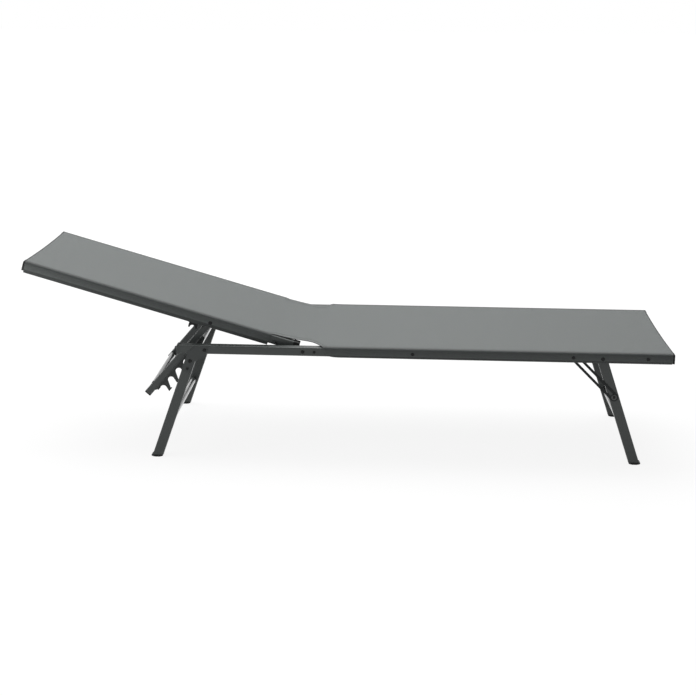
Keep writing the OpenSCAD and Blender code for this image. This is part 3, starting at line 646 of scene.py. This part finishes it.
column_step = 0.0125
row_step, fine_row_step = 0.008, 0.0035
fine_head, fine_foot = -0.130, 0.094    # stretch with the finer rows
bend_parts, side_parts = 4, 3           # parts of the mesh in a bend and beside a rail
edge_width = 0.0007                     # first row inside a free end
free_end_tape_and_shade = 0.0035                     # dark tape round a free end; its dark colour also paints the shade of the fold there
notch_slope = 0.0005                    # half the way in which a saddle's opening starts
half = half_columns()
columns = [-p for p in reversed(half[1:])] + half
back_wrap_end, seat_wrap_end = wrap_short - back_length, seat_length - wrap_short
rows = [-back_length, edge_width - back_length, free_end_tape_and_shade - back_length]
rows += steps(back_wrap_end, fine_head, row_step)
rows += steps(fine_head, fine_foot, fine_row_step)
rows += steps(fine_foot, seat_wrap_end, row_step)
rows += [seat_wrap_end, seat_length - free_end_tape_and_shade, seat_length - edge_width, seat_length]
for slope in (-notch_slope, notch_slope):
    rows += [-saddle_from + saddle_gap + slope, -saddle_to - saddle_gap + slope]
rows.sort()
painted_shade_from = 0.030             # the wrap's painted shade begins this far inside its outside
cloth_points, cloth_uv, hem_distance, end_distance, rail_place = [], [], [], [], []
for distance in rows:
    side = back_side if distance < 0 else seat_side
    limit = min(full_width(side), waist_at(distance))
    to_end = min(distance + back_length, seat_length - distance)
    if to_end < wrap_short - hair:
        limit = side - corner_r + turn_length + end_hang * to_end / wrap_short
    over_saddle = saddle_from - saddle_gap < -distance < saddle_to + saddle_gap
    if over_saddle:
        limit = full_width(side) - lap - turn_length + saddle_share * corner_r
    for column in columns:
        across = max(-limit, min(limit, column))
        # The free ends are drawn in at the middle by the tension of the cloth
        end_share = max(0.0, 1 - to_end / scoop_reach)
        scoop = end_scoop * end_share * max(0.0, 1 - (across / scoop_reach) ** 2)
        shifted = distance + scoop * (1 if distance < 0 else -1)
        point, normal = cloth_line(shifted)
        sideways, depth = round_rail(abs(across), side, over_saddle)
        inner = side - taut_band
        if sideways < inner and depth == 0:
            depth = sag_depth * (1 - (sideways / inner) ** 2)
        place = point - depth * normal
        cloth_points.append((place.x, sideways if across >= 0 else -sideways, place.z))
        cloth_uv.append((distance, across))
        hem_distance.append(limit - abs(across) if waist_at(distance) < 1 else 1.0)
        end_distance.append(to_end)
        rail_place.append(abs(across) - side + painted_shade_from)
count = len(columns)
quads = [(r * count + c, r * count + c + 1, (r + 1) * count + c + 1, (r + 1) * count + c)
         for r in range(len(rows) - 1) for c in range(count - 1)]
cloth_mesh = bpy.data.meshes.new("sling_cloth")
cloth_mesh.from_pydata(cloth_points, [], quads)
laid_flat = cloth_mesh.uv_layers.new(name="laid_flat")
for loop in cloth_mesh.loops:
    laid_flat.data[loop.index].uv = cloth_uv[loop.vertex_index]
for label, values in (("hem_distance", hem_distance), ("end_distance", end_distance),
                      ("rail_place", rail_place)):
    written = cloth_mesh.attributes.new(label, "FLOAT", "POINT")
    written.data.foreach_set("value", values)
cloth = bpy.data.objects.new("sling_cloth", cloth_mesh)
bpy.context.scene.collection.objects.link(cloth)
weld, sliver = 0.00005, 0.00002         # corners closer than the first become one
select_only(cloth)
bpy.ops.object.mode_set(mode="EDIT")
bpy.ops.mesh.select_all(action="SELECT")
bpy.ops.mesh.remove_doubles(threshold=weld)
bpy.ops.mesh.dissolve_degenerate(threshold=sliver)
bpy.ops.mesh.normals_make_consistent(inside=False)
bpy.ops.object.mode_set(mode="OBJECT")
thickness = cloth.modifiers.new("thickness", "SOLIDIFY")
thickness.thickness = cloth_thickness
thickness.offset = 0
bpy.ops.object.modifier_apply(modifier="thickness")
bpy.ops.object.shade_smooth_by_angle(angle=radians(40))

weave = bpy.data.materials.new("grey_woven_mesh")
weave.use_nodes = True
weave_tree = weave.node_tree
weave_shader = weave_tree.nodes["Principled BSDF"]
weave_shader.inputs["Roughness"].default_value = 0.5
weave_shader.inputs["Specular IOR Level"].default_value = 0.18
cloth_map = weave_tree.nodes.new("ShaderNodeUVMap")
cloth_map.uv_map = "laid_flat"


def woven(kind, **settings):
    """Adds a shading node of the cloth with its settings."""
    made = weave_tree.nodes.new(kind)
    for key, value in settings.items():
        setattr(made, key, value)
    return made


def link(output, target):
    """Joins two sockets of the cloth's nodes."""
    weave_tree.links.new(output, target)


yarn_pitch = 0.0012
one_band = 0.314              # scale at which a wave pattern repeats about once per yarn
yarns = woven("ShaderNodeMapping")
yarns.inputs["Scale"].default_value = (1 / yarn_pitch, 1 / yarn_pitch, 1)
link(cloth_map.outputs["UV"], yarns.inputs["Vector"])
lengthwise = woven("ShaderNodeTexWave", bands_direction="X", wave_profile="SIN")
crosswise = woven("ShaderNodeTexWave", bands_direction="Y", wave_profile="SIN")
for wave in (lengthwise, crosswise):
    wave.inputs["Scale"].default_value = one_band
    link(yarns.outputs["Vector"], wave.inputs["Vector"])
over_under = woven("ShaderNodeTexChecker")
over_under.inputs["Scale"].default_value = 1
over_under.inputs["Color1"].default_value = (1, 1, 1, 1)
over_under.inputs["Color2"].default_value = (0, 0, 0, 1)
link(yarns.outputs["Vector"], over_under.inputs["Vector"])
crossing = woven("ShaderNodeMix", data_type="FLOAT")
link(over_under.outputs["Fac"], crossing.inputs["Factor"])
link(lengthwise.outputs["Fac"], crossing.inputs[2])
link(crosswise.outputs["Fac"], crossing.inputs[3])
heather = woven("ShaderNodeTexNoise")
heather.inputs["Scale"].default_value = 380
heather.inputs["Detail"].default_value = 3
link(cloth_map.outputs["UV"], heather.inputs["Vector"])
yarn_shade = woven("ShaderNodeMix", data_type="RGBA")
yarn_shade.inputs["A"].default_value = (0.118, 0.129, 0.127, 1)
yarn_shade.inputs["B"].default_value = (0.239, 0.258, 0.253, 1)
link(crossing.outputs[0], yarn_shade.inputs["Factor"])
heathered = woven("ShaderNodeMix", data_type="RGBA", blend_type="MULTIPLY")
heathered.inputs["Factor"].default_value = 0.35
link(yarn_shade.outputs["Result"], heathered.inputs["A"])
link(heather.outputs["Color"], heathered.inputs["B"])


def near(source, place, reach):
    """1 where the attribute is within reach of a place, else 0."""
    band = woven("ShaderNodeMath", operation="COMPARE")
    band.inputs[1].default_value = place
    band.inputs[2].default_value = reach
    link(source.outputs["Fac"], band.inputs[0])
    return band.outputs[0]


def either(one, other):
    """1 where one of two marks is."""
    joined = woven("ShaderNodeMath", operation="MAXIMUM")
    link(one, joined.inputs[0])
    link(other, joined.inputs[1])
    return joined.outputs[0]


# A dark tape binds the free ends and the cut-outs, whose hem has two rows of stitches. At the
# free ends its dark colour also paints the shade of the cloth's fold. The marks of the cut-outs
# stop where the cloth goes round a rail
hem_tape = 0.003
first_stitches, second_stitches = 0.023, 0.027
half_stitch = 0.0009
marks_end = 0.024             # the rail_place where the marks stop
cut_edge = woven("ShaderNodeAttribute", attribute_name="hem_distance")
free_end = woven("ShaderNodeAttribute", attribute_name="end_distance")
wrapped = woven("ShaderNodeAttribute", attribute_name="rail_place")
on_top = woven("ShaderNodeMath", operation="LESS_THAN")
on_top.inputs[1].default_value = marks_end
link(wrapped.outputs["Fac"], on_top.inputs[0])
cut_marks = woven("ShaderNodeMath", operation="MULTIPLY")
link(on_top.outputs[0], cut_marks.inputs[0])
stitches = either(near(cut_edge, first_stitches, half_stitch),
                  near(cut_edge, second_stitches, half_stitch))
link(either(near(cut_edge, 0, hem_tape), stitches), cut_marks.inputs[1])
marked = woven("ShaderNodeMix", data_type="RGBA")
marked.inputs["B"].default_value = (0.030, 0.033, 0.033, 1)
link(either(cut_marks.outputs[0], near(free_end, 0, free_end_tape_and_shade)), marked.inputs["Factor"])
link(heathered.outputs["Result"], marked.inputs["A"])
# Round the rails the cloth's colour is darkened with painted shade, as the light falls off
# round the wrap. It gets darker across the top towards the upper bend, lighter down the side
# and darkest under the lower bend. Each entry is a place on the way from where the painted
# shade begins, inside a rail's outside, to the wrap's lower bend, and the share of its
# colour that the cloth keeps there
wrap_way = 0.060
painted_shade_shares = [(0.03, 1.0), (0.15, 0.88), (0.27, 0.62), (0.38, 0.46), (0.48, 0.47),
               (0.56, 0.70), (0.74, 0.81), (0.80, 0.90), (0.835, 0.45), (1.0, 0.4)]
wrap_share = woven("ShaderNodeMapRange")
wrap_share.inputs["From Max"].default_value = wrap_way
link(wrapped.outputs["Fac"], wrap_share.inputs["Value"])
painted_wrap_shade = woven("ShaderNodeValToRGB")
painted_shade_stops = painted_wrap_shade.color_ramp.elements
for place, share in painted_shade_shares[1:-1]:
    painted_shade_stops.new(place)
for made, (place, share) in zip(painted_shade_stops, painted_shade_shares):
    made.position = place
    made.color = (share, share, share, 1)
link(wrap_share.outputs["Result"], painted_wrap_shade.inputs["Fac"])
# multiplies the wrap's painted shade into the cloth's colour
wrap_shaded = woven("ShaderNodeMix", data_type="RGBA", blend_type="MULTIPLY")
wrap_shaded.inputs["Factor"].default_value = 1
link(marked.outputs["Result"], wrap_shaded.inputs["A"])
link(painted_wrap_shade.outputs["Color"], wrap_shaded.inputs["B"])
link(wrap_shaded.outputs["Result"], weave_shader.inputs["Base Color"])
weave_relief = woven("ShaderNodeBump")
weave_relief.inputs["Strength"].default_value = 0.35
weave_relief.inputs["Distance"].default_value = 0.0003
link(crossing.outputs[0], weave_relief.inputs["Height"])
link(weave_relief.outputs["Normal"], weave_shader.inputs["Normal"])
cloth.data.materials.append(weave)
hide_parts("seat_sling", "backrest_sling")
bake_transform(cloth)

# The lounger stands on a plain white studio floor under a large soft box, with a white
# surround that shows in its glossy tubes. To the camera and in those tubes the floor
# glows, so that it stays white.

floor_size = 60
bpy.ops.mesh.primitive_plane_add(size=floor_size, location=(0, 0, 0))
floor = bpy.context.object
floor.name = "studio_floor"
sheet_white = bpy.data.materials.new("studio_white")
sheet_white.use_nodes = True
floor_tree = sheet_white.node_tree
floor_tree.nodes.remove(floor_tree.nodes["Principled BSDF"])
matt = floor_tree.nodes.new("ShaderNodeBsdfDiffuse")
glow = floor_tree.nodes.new("ShaderNodeEmission")
rays = floor_tree.nodes.new("ShaderNodeLightPath")
greys = floor_tree.nodes.new("ShaderNodeMix")
greys.data_type = "RGBA"
greys.inputs["A"].default_value = (0.45, 0.45, 0.45, 1)
greys.inputs["B"].default_value = (0.16, 0.16, 0.16, 1)
seen = floor_tree.nodes.new("ShaderNodeMath")
seen.operation = "MAXIMUM"
floor_place = floor_tree.nodes.new("ShaderNodeTexCoord")
far_off = floor_tree.nodes.new("ShaderNodeVectorMath")
far_off.operation = "LENGTH"
fade = floor_tree.nodes.new("ShaderNodeMapRange")
fade.inputs["From Min"].default_value = 1.0
fade.inputs["From Max"].default_value = 4.0
fade.inputs["To Min"].default_value = 0.88
fade.inputs["To Max"].default_value = 1.0
lit = floor_tree.nodes.new("ShaderNodeMath")
lit.operation = "MULTIPLY"
both = floor_tree.nodes.new("ShaderNodeAddShader")
floor_tree.links.new(rays.outputs["Is Camera Ray"], greys.inputs["Factor"])
floor_tree.links.new(greys.outputs["Result"], matt.inputs["Color"])
floor_tree.links.new(rays.outputs["Is Camera Ray"], seen.inputs[0])
floor_tree.links.new(rays.outputs["Is Glossy Ray"], seen.inputs[1])
floor_tree.links.new(floor_place.outputs["Object"], far_off.inputs[0])
floor_tree.links.new(far_off.outputs["Value"], fade.inputs["Value"])
floor_tree.links.new(seen.outputs["Value"], lit.inputs[0])
floor_tree.links.new(fade.outputs["Result"], lit.inputs[1])
floor_tree.links.new(lit.outputs["Value"], glow.inputs["Strength"])
floor_tree.links.new(matt.outputs["BSDF"], both.inputs[0])
floor_tree.links.new(glow.outputs["Emission"], both.inputs[1])
floor_tree.links.new(both.outputs["Shader"], floor_tree.nodes["Material Output"].inputs["Surface"])
floor.data.materials.append(sheet_white)

# The room is white. Its wall behind the lounger is lit, and behind the camera it is
# darker, which only the glossy pieces show.

surround = bpy.data.worlds.new("white_surround")
bpy.context.scene.world = surround
surround.use_nodes = True
sky = surround.node_tree
dim = sky.nodes["Background"]
dim.inputs["Color"].default_value = (1, 1, 1, 1)
dim.inputs["Strength"].default_value = 0.30
mirrored = sky.nodes.new("ShaderNodeBackground")
mirrored.inputs["Color"].default_value = (1, 1, 1, 1)
white = sky.nodes.new("ShaderNodeBackground")
white.inputs["Color"].default_value = (1, 1, 1, 1)
white.inputs["Strength"].default_value = 1.0
way = sky.nodes.new("ShaderNodeTexCoord")
way_parts = sky.nodes.new("ShaderNodeSeparateXYZ")
room = sky.nodes.new("ShaderNodeMapRange")
room.inputs["From Min"].default_value = -0.6
room.inputs["From Max"].default_value = 0.2
room.inputs["To Min"].default_value = 0.35
room.inputs["To Max"].default_value = 1.0
sky_rays = sky.nodes.new("ShaderNodeLightPath")
for_mirror = sky.nodes.new("ShaderNodeMixShader")
for_camera = sky.nodes.new("ShaderNodeMixShader")
sky.links.new(way.outputs["Generated"], way_parts.inputs[0])
sky.links.new(way_parts.outputs["Y"], room.inputs["Value"])
sky.links.new(room.outputs["Result"], mirrored.inputs["Strength"])
sky.links.new(sky_rays.outputs["Is Glossy Ray"], for_mirror.inputs["Fac"])
sky.links.new(dim.outputs["Background"], for_mirror.inputs[1])
sky.links.new(mirrored.outputs["Background"], for_mirror.inputs[2])
sky.links.new(sky_rays.outputs["Is Camera Ray"], for_camera.inputs["Fac"])
sky.links.new(for_mirror.outputs["Shader"], for_camera.inputs[1])
sky.links.new(white.outputs["Background"], for_camera.inputs[2])
sky.links.new(for_camera.outputs["Shader"], sky.nodes["World Output"].inputs["Surface"])

# Three soft boxes light the lounger: a large one overhead, and two weak ones at the head
# end, which lift the side of the backrest.


def soft_lamp(name, place, aim, sides, energy):
    """Adds a rectangular soft box at a place, aimed at a point."""
    lamp = bpy.data.lights.new(name, "AREA")
    lamp.shape = "RECTANGLE"
    lamp.size, lamp.size_y = sides
    lamp.energy = energy
    holder = bpy.data.objects.new(name, lamp)
    holder.location = place
    holder.rotation_euler = (Vector(aim) - Vector(place)).to_track_quat("-Z", "Y").to_euler()
    bpy.context.scene.collection.objects.link(holder)


soft_lamp("overhead_soft_box", place=(-0.4, 1.0, 3.2), aim=(0, 0, 0.3), sides=(4.0, 3.0),
          energy=104)
soft_lamp("head_side_fill", place=(-2.6, -2.2, 1.2), aim=(-0.6, -0.3, 0.4), sides=(1.2, 1.2),
          energy=4)
soft_lamp("head_corner_fill", place=(-1.3, -0.62, 0.5), aim=(-0.85, -0.26, 0.5),
          sides=(0.3, 0.3), energy=1.7)
bpy.context.scene.view_settings.view_transform = "Standard"
